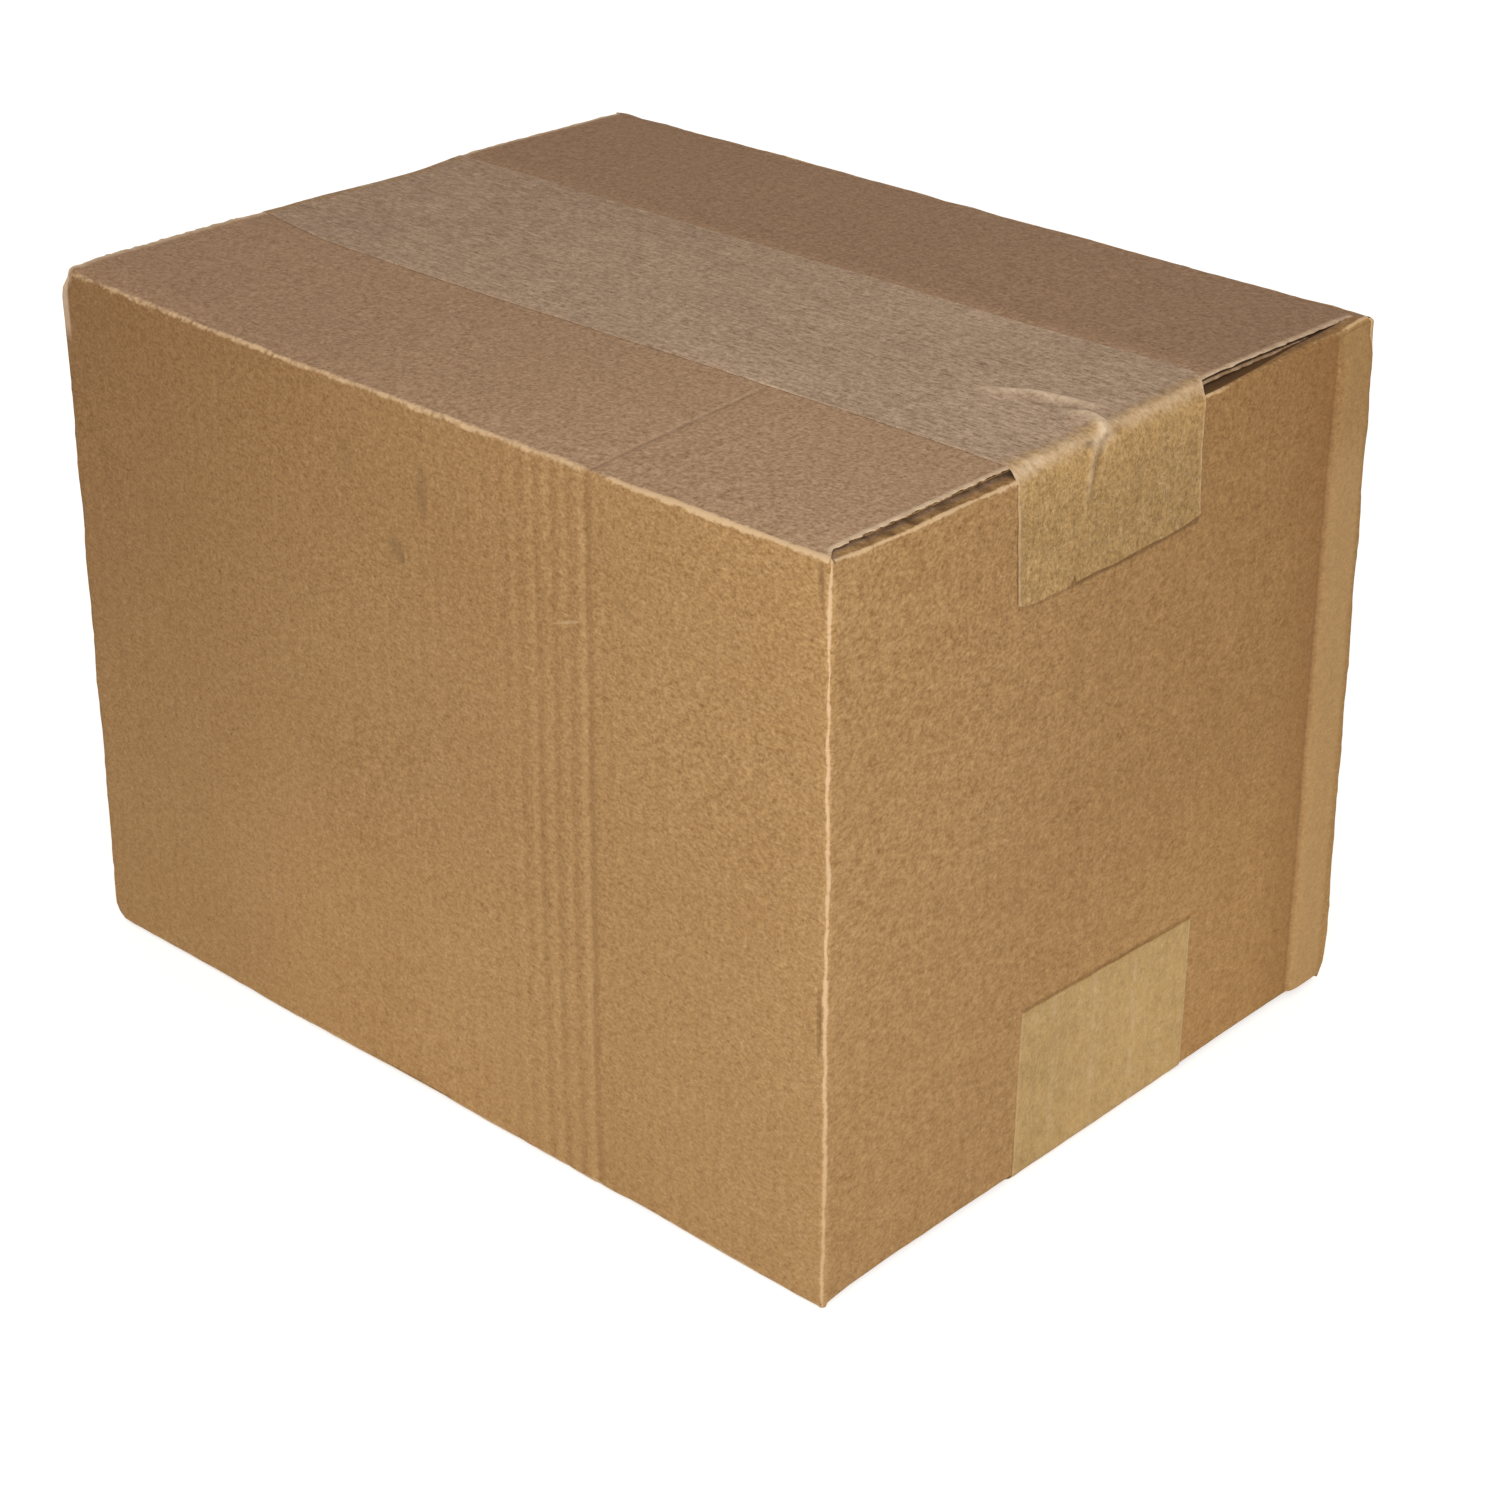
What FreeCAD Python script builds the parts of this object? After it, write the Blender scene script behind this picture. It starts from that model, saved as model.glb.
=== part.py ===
import FreeCAD, Part
import math
import os

# A closed corrugated carton, taped along its top and bottom seams.
# Millimetres. Z is up, X runs along the long walls, and the origin is the middle
# of the underside, on the face of the bottom tape that the carton stands on.

# Carton
length = 300.0
width = 230.0
height = 215.5
board = 3.0
fold_radius = 2.2

# Flaps
seam_gap = 1.0
minor_flap_reach = 114.0
minor_flap_clearance = 0.5
flap_end_inset = 4.0
fold_end_inset = 1.0
flap_layer_gap = 0.6

# The lift of a flap's two ends, where the board has sprung up between its fold
# and the tape, and how far along the flap each lift dies out
front_lift_left = 3.0
front_lift_right = 0.3
back_lift_left = 1.6
back_lift_right = 1.2
lift_run = 95.0
lift_run_steps = 3
lift_peak_share = 0.6

# Glue tab: the sheet's last strip, folded round the far right corner and stuck
# to the outside of the right end wall, where it is pressed flat
tab_width = 18.0
tab_thickness = 1.6
tab_edge_slope = 2.0

# Pressed lines: a row of crushed flutes down the front wall, and a crease that
# carries on from the last of them across the front top flap
flute_pitch = 6.35
crush_line_count = 5
last_crush_line_from_right = 82.0
crush_line_width = 2.4
crush_line_depth = 0.35
flap_crease_lean = 3.6

# Paper tape
tape_thickness = 0.25
tape_bend_radius = 1.0
tape_slope_drop = 4.7
top_tape_width = 84.0
top_tape_offset = -1.0
top_tape_drop = 37.5
top_drop_near_tuck = 1.0
top_drop_far_tuck = 4.5
bottom_tape_width = 78.0
bottom_tape_offset = 3.5
bottom_tape_rise = 52.0

# Levels and faces worked out from these sizes
left = -length / 2
right = length / 2
front = -width / 2
back = width / 2
z_bottom = tape_thickness
z_top = z_bottom + height
z_minor_top = z_top - board - flap_layer_gap
z_minor_bottom = z_bottom + board + flap_layer_gap
notch_half_width = width / 2 - board - minor_flap_clearance
top_tape_near = top_tape_offset - top_tape_width / 2
top_tape_far = top_tape_offset + top_tape_width / 2
bottom_tape_near = bottom_tape_offset - bottom_tape_width / 2


def vector(x, y, z=0.0):
    return FreeCAD.Vector(x, y, z)


def block(x_range, y_range, z_range):
    """A box between the low and high values of each range."""
    corner = vector(x_range[0], y_range[0], z_range[0])
    sizes = [high - low for low, high in (x_range, y_range, z_range)]
    return Part.makeBox(sizes[0], sizes[1], sizes[2], corner)


def unit(a, b):
    """The direction from a to b."""
    step = b - a
    return step / step.Length


def offset_points(points, distance):
    """The path moved sideways, to its left seen from +Z, by the distance."""
    moved = []
    for i, point in enumerate(points):
        ahead = unit(point, points[i + 1]) if i + 1 < len(points) else None
        behind = unit(points[i - 1], point) if i > 0 else None
        first = behind if behind is not None else ahead
        second = ahead if ahead is not None else behind
        n1 = vector(-first.y, first.x)
        n2 = vector(-second.y, second.x)
        moved.append(point + (n1 + n2) * (distance / (1.0 + n1.dot(n2))))
    return moved


def without_repeats(points):
    """The points less each one that lies on the one before it."""
    kept = [points[0]]
    for point in points[1:]:
        if (point - kept[-1]).Length > 1e-6:
            kept.append(point)
    return kept


def bent_edges(points, radius):
    """Straight runs between the points, with an arc of the radius at each bend."""
    points = without_repeats(points)
    if len(points) < 2:
        return []
    edges = []
    start = points[0]
    for i in range(1, len(points) - 1):
        corner = points[i]
        into = unit(points[i - 1], corner)
        out = unit(corner, points[i + 1])
        turn = math.acos(max(-1.0, min(1.0, into.dot(out))))
        if radius > 0 and turn > 1e-6:
            run = radius * math.tan(turn / 2)
            arc_start = corner - into * run
            arc_end = corner + out * run
            towards = unit(corner, (arc_start + arc_end) / 2)
            middle = corner + towards * (radius / math.cos(turn / 2) - radius)
            edges.append(Part.LineSegment(start, arc_start).toShape())
            edges.append(Part.Arc(arc_start, middle, arc_end).toShape())
            start = arc_end
        else:
            edges.append(Part.LineSegment(start, corner).toShape())
            start = corner
    edges.append(Part.LineSegment(start, points[-1]).toShape())
    return edges


def sheet_section(points, thickness, radius, far_radius):
    """A face between the path and its offset by the thickness, to the path's left.

    The path's bends have the radius, and those of its offset the far radius.
    """
    path = [vector(x, y) for x, y in points]
    offset = offset_points(path, thickness)
    edges = bent_edges(path, radius) + bent_edges(offset, far_radius)
    edges.append(Part.LineSegment(path[-1], offset[-1]).toShape())
    edges.append(Part.LineSegment(offset[0], path[0]).toShape())
    return Part.Face(Part.Wire(Part.__sortEdges__(edges)))


def board_section(points):
    """The board's section, whose outer face follows the path."""
    return sheet_section(points, board, fold_radius, max(0.0, fold_radius - board))


def along_x(section, low, high):
    """Extrudes a section drawn in (Y, Z) along X."""
    solid = section.extrude(vector(0, 0, high - low))
    frame = FreeCAD.Matrix(0, 0, 1, low, 1, 0, 0, 0, 0, 1, 0, 0, 0, 0, 0, 1)
    return solid.transformShape(frame, True)


def along_y(section, low, high):
    """Extrudes a section drawn in (X, Z) along Y."""
    solid = section.extrude(vector(0, 0, low - high))
    frame = FreeCAD.Matrix(1, 0, 0, 0, 0, 0, -1, low, 0, 1, 0, 0, 0, 0, 0, 1)
    return solid.transformShape(frame, True)


def wall_ring():
    """The four walls round the vertical folds, with the glue tab on the right one."""
    r = fold_radius
    tab_face = right + tab_thickness
    tab_edge = back - tab_width
    corner_cut = r * (1 - math.sqrt(0.5))
    edges = []

    def line(a, b):
        edges.append(Part.LineSegment(vector(*a), vector(*b)).toShape())

    def corner(x, y, sx, sy):
        """An arc inside the corner at (x, y), whose walls lie towards sx and sy."""
        a = vector(x, y + sy * r)
        b = vector(x + sx * r, y)
        middle = vector(x + sx * corner_cut, y + sy * corner_cut)
        edges.append(Part.Arc(a, middle, b).toShape())

    line((left + r, front), (right - r, front))
    corner(right, front, -1, 1)
    line((right, front + r), (right, tab_edge))
    line((right, tab_edge), (tab_face, tab_edge + tab_edge_slope))
    line((tab_face, tab_edge + tab_edge_slope), (tab_face, back - r))
    corner(tab_face, back, -1, -1)
    line((tab_face - r, back), (left + r, back))
    corner(left, back, 1, -1)
    line((left, back - r), (left, front + r))
    corner(left, front, 1, 1)
    outline = Part.Face(Part.Wire(Part.__sortEdges__(edges)))
    ring = outline.extrude(vector(0, 0, height - 2 * board))
    ring.translate(vector(0, 0, z_bottom + board))
    room = block(
        (left + board, right - board),
        (front + board, back - board),
        (z_bottom, z_top),
    )
    return ring.cut(room)


def end_notches():
    """Where the end walls stop lower than the long walls, to fold in under them."""
    notches = []
    for x_range in ((left, left + board), (right - board, right)):
        for z_range in ((z_minor_top - board, z_top), (z_bottom, z_minor_bottom + board)):
            notches.append(block(x_range, (-notch_half_width, notch_half_width), z_range))
    return notches


def minor_flap(end, is_top):
    """An end wall's flap with its fold; end is 1 at the right and -1 at the left."""
    level = z_minor_top if is_top else z_minor_bottom
    down = -1 if is_top else 1
    path = [
        (end * right, level + down * board),
        (end * right, level),
        (end * (right - minor_flap_reach), level),
    ]
    if end * down > 0:
        path.reverse()
    return along_y(board_section(path), -notch_half_width, notch_half_width)


def major_fold(side, is_top, low, high, reach):
    """A long wall's fold and the first part of its flap, out to the reach.

    side is -1 at the front wall and 1 at the back one.
    """
    level = z_top if is_top else z_bottom
    down = -1 if is_top else 1
    path = [
        (side * back, level + down * board),
        (side * back, level),
        (side * (back - reach), level),
    ]
    if side * down > 0:
        path.reverse()
    return along_x(board_section(path), low, high)


def lift_section(x, y_fold, y_tape, lift):
    """The flap's section between fold and tape at one place along the carton."""
    top = []
    under = []
    peak = lift_peak_share
    for share in (0.0, peak / 2, peak, (1 + peak) / 2, 1.0):
        rise = lift * lift_shape(share)
        y = y_fold + (y_tape - y_fold) * share
        top.append(vector(x, y, z_top + rise))
        under.append(vector(x, y, z_top - board + rise))
    top_curve = Part.BSplineCurve()
    top_curve.interpolate(top)
    under_curve = Part.BSplineCurve()
    under_curve.interpolate(under)
    edges = [
        top_curve.toShape(),
        Part.LineSegment(top[-1], under[-1]).toShape(),
        under_curve.toShape(),
        Part.LineSegment(under[0], top[0]).toShape(),
    ]
    return Part.Wire(Part.__sortEdges__(edges))


def lift_shape(share):
    """How much of the lift is reached at a share of the way from fold to tape."""
    if share <= lift_peak_share:
        return math.sin(math.pi / 2 * share / lift_peak_share) ** 1.5
    past = (share - lift_peak_share) / (1 - lift_peak_share)
    return math.cos(math.pi / 2 * past) ** 1.5


def lift_along(x, lift_left, lift_right):
    """The lift at a place along the flap: it dies out from both ends."""
    from_left = (x - left - flap_end_inset) / lift_run
    from_right = (right - flap_end_inset - x) / lift_run
    fade_left = max(0.0, 1 - from_left) ** 2
    fade_right = max(0.0, 1 - from_right) ** 2
    return lift_left * fade_left + lift_right * fade_right


def lifted_flap(side, lift_left, lift_right):
    """The part of a top flap between its fold and the tape, lifted at both ends."""
    y_fold = side * (back - board)
    y_tape = top_tape_far if side > 0 else top_tape_near
    x_low = left + flap_end_inset
    x_high = right - flap_end_inset
    steps = [lift_run * i / lift_run_steps for i in range(lift_run_steps + 1)]
    from_left = [x_low + step for step in steps]
    from_right = [x_high - step for step in reversed(steps)]
    wires = []
    for x in from_left + from_right:
        lift = lift_along(x, lift_left, lift_right)
        wires.append(lift_section(x, y_fold, y_tape, lift))
    return Part.makeLoft(wires, True, False)


def top_major_flap(side, lift_left, lift_right):
    """The fold, the lifted stretch and the flat stretch under the tape."""
    x_low = left + flap_end_inset
    x_high = right - flap_end_inset
    y_tape = top_tape_far if side > 0 else top_tape_near
    y_seam = side * seam_gap / 2
    fold = major_fold(side, True, left + fold_end_inset, right - fold_end_inset, board)
    lifted = lifted_flap(side, lift_left, lift_right)
    y_range = tuple(sorted((y_tape, y_seam)))
    under_tape = block((x_low, x_high), y_range, (z_top - board, z_top))
    return [fold, lifted, under_tape]


def bottom_major_flap(side):
    """A bottom flap, flat from its fold to the seam."""
    ends = major_fold(side, False, left + fold_end_inset, right - fold_end_inset, board)
    reach = width / 2 - seam_gap / 2
    x_low = left + flap_end_inset
    x_high = right - flap_end_inset
    return [ends, major_fold(side, False, x_low, x_high, reach)]


def pressed_line(a, b, normal, across):
    """A shallow V-shaped cutter from a to b, opening towards the normal."""
    half = across * (crush_line_width / 2)
    tip = a - normal * crush_line_depth
    mouth = a + normal * crush_line_depth
    corners = [tip, mouth + half * 2, mouth - half * 2, tip]
    face = Part.Face(Part.makePolygon(corners))
    return face.extrude(b - a)


def crush_lines():
    """Crushed flutes down the front wall, one flute apart, ending at the last line."""
    cutters = []
    outward = vector(0, -1, 0)
    sideways = vector(1, 0, 0)
    last = right - last_crush_line_from_right
    for i in range(crush_line_count):
        x = last - i * flute_pitch
        a = vector(x, front, z_bottom + board)
        b = vector(x, front, z_top - board)
        cutters.append(pressed_line(a, b, outward, sideways))
    return cutters


def flap_crease():
    """The crease across the front top flap, in line with the last crushed flute."""
    x = right - last_crush_line_from_right
    a = vector(x, front + board, z_top)
    b = vector(x - flap_crease_lean, top_tape_near, z_top)
    sideways = vector(1, 0, 0)
    return pressed_line(a, b, vector(0, 0, 1), sideways)


def carton():
    """One folded sheet: walls, glue tab, two layers of flaps at the top and bottom."""
    pieces = []
    for end in (-1, 1):
        for is_top in (True, False):
            pieces.append(minor_flap(end, is_top))
    pieces += top_major_flap(-1, front_lift_left, front_lift_right)
    pieces += top_major_flap(1, back_lift_left, back_lift_right)
    for side in (-1, 1):
        pieces += bottom_major_flap(side)
    ring = wall_ring().cut(end_notches())
    sheet = ring.fuse(pieces)
    sheet = sheet.cut(crush_lines() + [flap_crease()])
    return sheet.removeSplitter()


def tape_bend_end(drop):
    """How far along X the tape turns down, so that its bend starts at the flap's end."""
    flap_end = right - flap_end_inset
    bend_end = flap_end
    for _ in range(20):
        turn = math.atan2(drop, right - bend_end)
        bend_end = flap_end + tape_bend_radius * math.tan(turn / 2)
    return bend_end


def tape_strip(level, down, reach, y_low, y_high):
    """Tape along the carton at the level, then over both ends to its full reach.

    Past the flaps' ends it slopes out to the end walls. down is -1 for the top
    tape, whose ends hang down, and 1 for the bottom tape, whose ends stand up.
    """
    bend = tape_bend_end(tape_slope_drop)
    path = [
        (-right, level + down * (reach - tape_thickness)),
        (-right, level + down * tape_slope_drop),
        (-bend, level),
        (bend, level),
        (right, level + down * tape_slope_drop),
        (right, level + down * (reach - tape_thickness)),
    ]
    if down > 0:
        path.reverse()
    outer_radius = tape_bend_radius + tape_thickness
    section = sheet_section(path, tape_thickness, tape_bend_radius, outer_radius)
    return along_y(section, y_low, y_high)


def top_tape():
    """Tape over the top seam; a pleat draws its right end in from both edges."""
    strip = tape_strip(z_top, -1, top_tape_drop, top_tape_near, top_tape_far)
    x_range = (right - board, right + board)
    z_range = (z_top - top_tape_drop, z_top - tape_slope_drop)
    near_range = (top_tape_near, top_tape_near + top_drop_near_tuck)
    far_range = (top_tape_far - top_drop_far_tuck, top_tape_far)
    near_tuck = block(x_range, near_range, z_range)
    far_tuck = block(x_range, far_range, z_range)
    return strip.cut([near_tuck, far_tuck])


def bottom_tape():
    """Tape under the bottom seam; the carton stands on it."""
    y_far = bottom_tape_near + bottom_tape_width
    return tape_strip(z_bottom, 1, bottom_tape_rise, bottom_tape_near, y_far)


def write_parts():
    os.makedirs("parts", exist_ok=True)
    parts = {"carton": carton(), "top_tape": top_tape(), "bottom_tape": bottom_tape()}
    for name, shape in parts.items():
        solid = shape.Solids[0]
        print(name, "solids", len(shape.Solids), "valid", solid.isValid())
        print("  volume", round(solid.Volume, 1), solid.BoundBox)
        solid.exportStep("parts/" + name + ".step")


write_parts()
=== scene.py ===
"""Looks for the closed cardboard carton: board, flaps with cut ends, and paper tape.

Sizes in this script are millimetres in the part's frame, and a mesh turns them into
metres as it is made. Z is up and X runs along the long walls.
"""

import math

import bmesh
import bpy
import numpy as np
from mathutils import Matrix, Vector


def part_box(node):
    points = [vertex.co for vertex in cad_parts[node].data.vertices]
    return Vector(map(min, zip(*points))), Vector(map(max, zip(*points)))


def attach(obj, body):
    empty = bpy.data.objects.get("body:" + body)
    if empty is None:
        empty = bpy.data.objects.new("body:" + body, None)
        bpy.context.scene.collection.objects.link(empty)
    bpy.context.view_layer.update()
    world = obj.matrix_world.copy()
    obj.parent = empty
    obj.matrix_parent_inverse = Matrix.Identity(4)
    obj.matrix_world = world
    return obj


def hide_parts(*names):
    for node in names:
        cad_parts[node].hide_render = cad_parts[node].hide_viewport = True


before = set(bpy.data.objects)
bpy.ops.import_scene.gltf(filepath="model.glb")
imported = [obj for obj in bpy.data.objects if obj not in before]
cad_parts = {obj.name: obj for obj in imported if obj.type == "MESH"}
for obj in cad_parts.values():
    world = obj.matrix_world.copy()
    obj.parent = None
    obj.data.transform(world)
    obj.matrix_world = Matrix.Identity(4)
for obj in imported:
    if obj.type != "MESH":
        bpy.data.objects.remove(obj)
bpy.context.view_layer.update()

MM = 0.001

# The carton's own sizes, read from the frame
carton_low, carton_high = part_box("carton")
LEFT = round(carton_low[0] / MM, 3)
RIGHT = -LEFT
FRONT = round(carton_low[1] / MM, 3)
BACK = round(carton_high[1] / MM, 3)
BOTTOM = round(carton_low[2] / MM, 3)
TOP = BOTTOM + 215.5

# The board: its thickness, its liners, its flutes and the radius of its folds
BOARD = 3
LINER = 0.48
FLUTE = 6.35
FOLD = 1.5
INNER_FOLD = 1.4
CORNER = 1.8
SCORE_DIP = 0.5

# The flaps: how far their cut ends stop short, their thickness there, and the inner
# flaps' faces and half width
FLAP_INSET = 4
FLAP_BOARD = 2
INNER_TOP = TOP - 2.05
INNER_BOTTOM = BOTTOM + 2.1
NOTCH = 112.9
COLUMN_END = 146

# The glue tab and the tapes
TAB_EDGE = 97
TAB_THICK = 1.6
TAPE = 0.25

# Corners of the carton that are crushed a little: place, push along each axis, and
# its reach, which is one length or a length along each axis
BLUNT_CORNERS = (
    ((LEFT, FRONT, TOP), (2.2, 1.2, -0.1), (6.2, 6.2, 2.9)),
    ((LEFT, FRONT, BOTTOM), (1.6, 1.1, 0.9), 3.2),
    ((RIGHT + TAB_THICK, BACK, BOTTOM), (-0.6, -2.2, 0.5), 4.4),
    ((LEFT, BACK, TOP), (0.8, -0.8, -0.4), 4),
    ((LEFT, BACK, BOTTOM), (1.4, -1.4, 0.9), 5),
)

# Drops and smudges on the front wall: place, half sizes, lean in degrees and strength
STAINS = (
    ((-5, 171), (2.2, 4.6), 32, 0.42),
    ((5.8, 191), (2.3, 8), 0, 0.28),
    ((-24.6, 193), (2.2, 5), 0, 0.18),
    ((80.5, 181), (1.6, 4.6), 62, 0.22),
)

# Crushed flutes down the front wall, from left to right, and the flap's crease
CRUSH_LINES = (35.6, 41.6, 48.1, 54.2, 60.4, 66.9)
CRUSH_DEPTHS = (0.05, 0.08, 0.13, 0.15, 0.13, 0.26)
CREASE = ((68.4, -112.5), (66, -78), (64.6, -44))


def smooth(low, high, value):
    """0 below low, 1 above high, and 3t^2 - 2t^3 between them."""
    t = np.clip((value - low) / (high - low), 0, 1)
    return t * t * (3 - 2 * t)


def hump(value, width, centre=0):
    """A soft hump, 1 at its centre: exp(-((value - centre) / width)^2)."""
    return np.exp(-(((value - centre) / width) ** 2))


def waves(u, v, seed, size):
    """Soft unevenness from about -1 to 1: a sum of sine waves in random directions.

    Each wave is sin(2 pi (u cos a + v sin a) / length + phase), with lengths near
    the size in millimetres.
    """
    chance = np.random.default_rng(seed)
    total = np.zeros(np.broadcast(u, v).shape)
    count = 14
    for _ in range(count):
        angle = chance.uniform(0, math.pi)
        length = size * chance.uniform(0.6, 1.7)
        phase = chance.uniform(0, 2 * math.pi)
        along = u * math.cos(angle) + v * math.sin(angle)
        total += np.sin(2 * math.pi * along / length + phase)
    return total / math.sqrt(count)


def wander(u, seed, size):
    """The waves along u alone."""
    return waves(u, 0 * u, seed, size)


def rounded_line(value, places, heights, blur):
    """Straight lines through (place, height) points, rounded off over the blur."""
    fine = np.linspace(places[0] - 3 * blur, places[-1] + 3 * blur, 1200)
    step = fine[1] - fine[0]
    reach = np.arange(-int(3 * blur / step), int(3 * blur / step) + 1) * step
    weight = np.exp(-0.5 * (reach / blur) ** 2)
    line = np.interp(fine, places, heights)
    padded = np.pad(line, len(reach) // 2, mode="edge")
    line = np.convolve(padded, weight / weight.sum(), mode="valid")
    return np.interp(value, fine, line)


def from_route(u, v, route):
    """Distance of (u, v) from a route of straight runs, its signed side, and the share
    of the way along it: the nearest of the distances to each run."""
    best = np.full(np.broadcast(u, v).shape, 1e9)
    side = np.zeros(best.shape)
    share = np.zeros(best.shape)
    points = np.array(route, dtype=float)
    runs = np.linalg.norm(np.diff(points, axis=0), axis=1)
    walked = np.concatenate([[0], np.cumsum(runs)]) / runs.sum()
    for i in range(len(points) - 1):
        a, run = points[i], points[i + 1] - points[i]
        t = np.clip(((u - a[0]) * run[0] + (v - a[1]) * run[1]) / (run @ run), 0, 1)
        du = u - a[0] - t * run[0]
        dv = v - a[1] - t * run[1]
        distance = np.hypot(du, dv)
        near = distance < best
        best = np.where(near, distance, best)
        side = np.where(near, np.sign(run[0] * dv - run[1] * du), side)
        share = np.where(near, walked[i] + t * (walked[i + 1] - walked[i]), share)
    return best, side, share


def spaced(low, high, step):
    """Places from low to high, evenly spaced at about the step."""
    return np.linspace(low, high, max(2, int(round((high - low) / step)) + 1))


def columns(*runs):
    """Places in rising order through runs of (low, high, step)."""
    return np.unique(np.concatenate([spaced(*run) for run in runs]).round(4))


def weld(mesh):
    """Joins points that lie on each other, such as those of an end's middle line."""
    work = bmesh.new()
    work.from_mesh(mesh)
    bmesh.ops.remove_doubles(work, verts=work.verts, dist=2e-6)
    bmesh.ops.dissolve_degenerate(work, edges=work.edges, dist=1e-7)
    work.to_mesh(mesh)
    work.free()


def make_piece(name, points, wrap_rows, marks):
    """A closed mesh from a grid of points in millimetres, with its faces outwards.

    Faces join neighbours in the grid, the last column to the first, and the last row
    to the first where it wraps. The faces are turned over if the volume they enclose,
    the sum of a . (b x c) / 6, is negative. marks are values kept on the points.
    """
    rows, count = points.shape[:2]
    index = np.arange(rows * count).reshape(rows, count)
    if wrap_rows:
        index = np.vstack([index, index[:1]])
    index = np.hstack([index, index[:, :1]])
    corners = [index[:-1, :-1], index[:-1, 1:], index[1:, 1:], index[1:, :-1]]
    faces = np.stack(corners, axis=-1).reshape(-1, 4)
    places = points.reshape(-1, 3) * MM
    a, b, c, d = (places[faces[:, i]] for i in range(4))
    volume = np.sum(a * np.cross(b, c)) + np.sum(a * np.cross(c, d))
    if volume < 0:
        faces = faces[:, ::-1]
    mesh = bpy.data.meshes.new(name)
    mesh.from_pydata(places.tolist(), [], faces.tolist())
    for mark, values in marks.items():
        layer = mesh.attributes.new(mark, "FLOAT", "POINT")
        layer.data.foreach_set("value", values.astype(np.float32).ravel())
    weld(mesh)
    mesh.shade_smooth()
    mesh.set_sharp_from_angle(angle=math.radians(50))
    piece = bpy.data.objects.new(name, mesh)
    bpy.context.scene.collection.objects.link(piece)
    return piece


# Columns across the long walls and their flaps, close together at the pressed lines
FRONT_COLUMNS = columns(
    (-COLUMN_END, 30, 3), (30, 39, 1), (39, 72, 0.42),
    (72, 80, 1), (80, 140, 3), (140, COLUMN_END, 0.75),
)
BACK_COLUMNS = columns((-COLUMN_END, -140, 1), (-140, 140, 2.8), (140, COLUMN_END, 1))


def press(x, z):
    """How far the front wall is pressed in at the crushed flutes.

    Each line is a soft valley, depth * exp(-(distance / 1.5)^2), that wanders and
    comes and goes along its height.
    """
    depth = 0 * x
    for i, (line, deep) in enumerate(zip(CRUSH_LINES, CRUSH_DEPTHS)):
        sway = 0.40 * wander(z, 40 + i, 60) + 0.14 * wander(z, 50 + i, 9)
        strength = np.clip(0.80 + 0.42 * wander(z, 60 + i, 34), 0.15, 1.4)
        depth += deep * strength * hump(x - sway, 1.5, line)
    return depth


def long_wall_press(side, x, z):
    """How far a long wall stands in: a soft sag, and the crushed flutes at the front.
    side is -1 at the front and 1 at the back."""
    if side > 0:
        return 0.20 * waves(x, z, 6, 110)
    sag = 0.22 * waves(x, z, 3, 120) + 0.035 * waves(x, z, 4, 11)
    return press(x, z) - sag * smooth(0, 12, RIGHT - np.abs(x))


def end_wall_press(side, y, z):
    """How far an end wall stands in: a soft sag that ends before the corners."""
    return smooth(0, 14, BACK - np.abs(y)) * 0.20 * waves(y + 400 * side, z, 5, 110)


def blunted(x, y, z):
    """The place moved in at the crushed corners, by push * exp(-(distance / reach)^2),
    and up to 1.5 mm up towards the left front top corner, which stands a bit high."""
    high = smooth(55, 150, -x) * smooth(120, 215, z) * hump(y, 26, FRONT)
    place = np.stack([x, y, z + 1.5 * high], axis=-1)
    moved = place.copy()
    for corner, push, reach in BLUNT_CORNERS:
        away = np.sum(((place - corner) / reach) ** 2, axis=-1, keepdims=True)
        moved += np.exp(-away) * push
    return moved


def tab_lean(z):
    """How far the tab's edge lies from TAB_EDGE at a height: the tab widens downwards."""
    return z * 0.0112 - 1.8


def inner_level(side, y, is_top):
    """The height of an inner flap's face at its fold: nearer the outer flap at the
    corners, by 0.9 (|y| / 112)^10, and at the right end's top in two smooth steps
    towards the back instead. side is 1 at the right end and -1 at the left."""
    towards = 0.9 * (np.abs(y) / 112) ** 10
    if is_top:
        steps = 0.90 * smooth(36, 98, y) + 0.85 * smooth(92, 109, y)
        towards = np.where((side > 0) & (y > 0), steps, towards)
    return INNER_TOP + towards if is_top else INNER_BOTTOM - towards


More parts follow.
